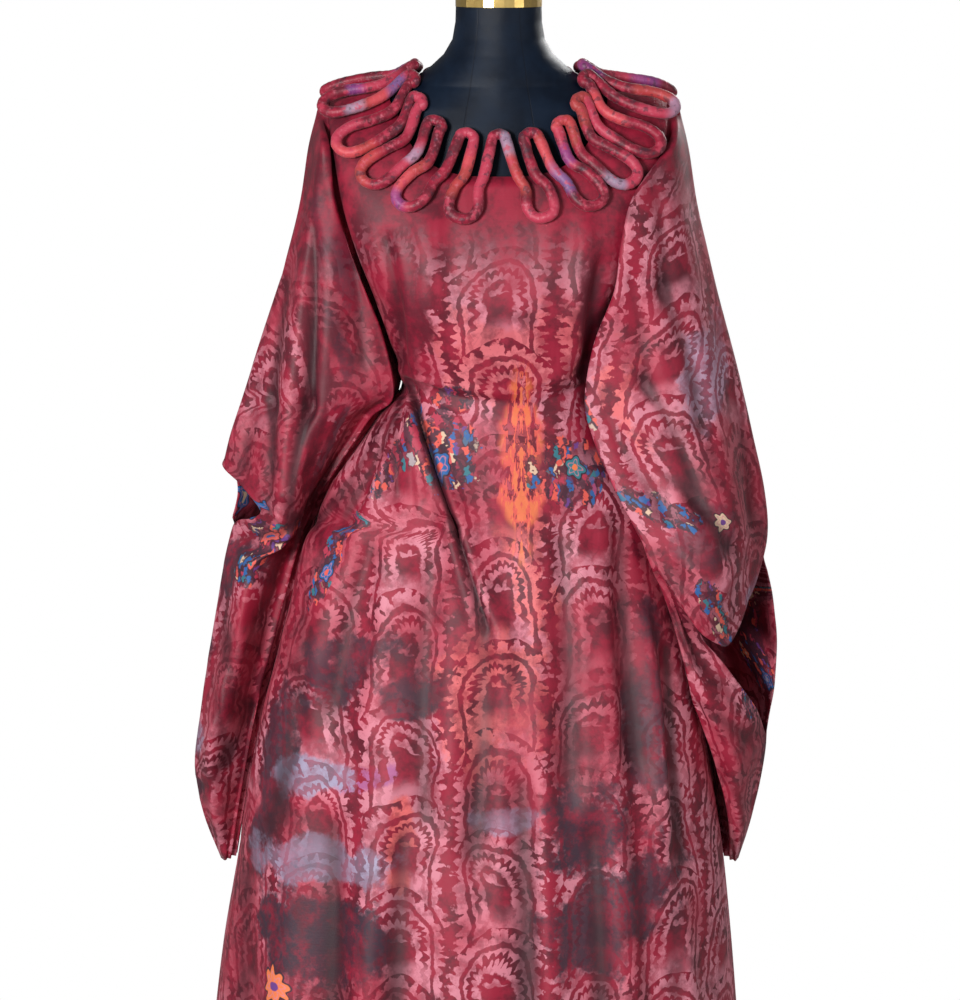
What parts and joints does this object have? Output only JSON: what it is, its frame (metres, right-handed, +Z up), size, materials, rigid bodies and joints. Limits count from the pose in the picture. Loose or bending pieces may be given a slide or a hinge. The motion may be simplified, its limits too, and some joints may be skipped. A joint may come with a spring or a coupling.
{
  "type": "grand boubou robe on a dress form",
  "caption": "Floor-length wide-sleeved robe with a collar of looped rouleau, worn by a limbless dress form on a pole and round base.",
  "frame": {"origin": "centre of the stand's flat underside, on the floor, below the dress form's axis", "axes": "+Z up, -Y to the front of the robe, +X to the wearer's left"},
  "size_m": [0.7168, 0.5824, 1.5173],
  "materials": {
    "cloth": "crimson batik cotton with a soft sheen, printed in scale-like arches",
    "rouleau": "the same cotton, cut on the bias and padded into a round cord",
    "form": "dark navy satin",
    "brass": "polished",
    "steel": "black powder coat"
  },
  "bodies": {
    "root": {"front": "cloth", "back": "cloth", "sleeve_right": "cloth", "sleeve_left": "cloth", "collar_front": "rouleau", "collar_back": "rouleau", "dress_form": "form", "neck_cap": "brass", "stand_pole": "steel", "stand_base": "steel"}
  },
  "joints": []
}
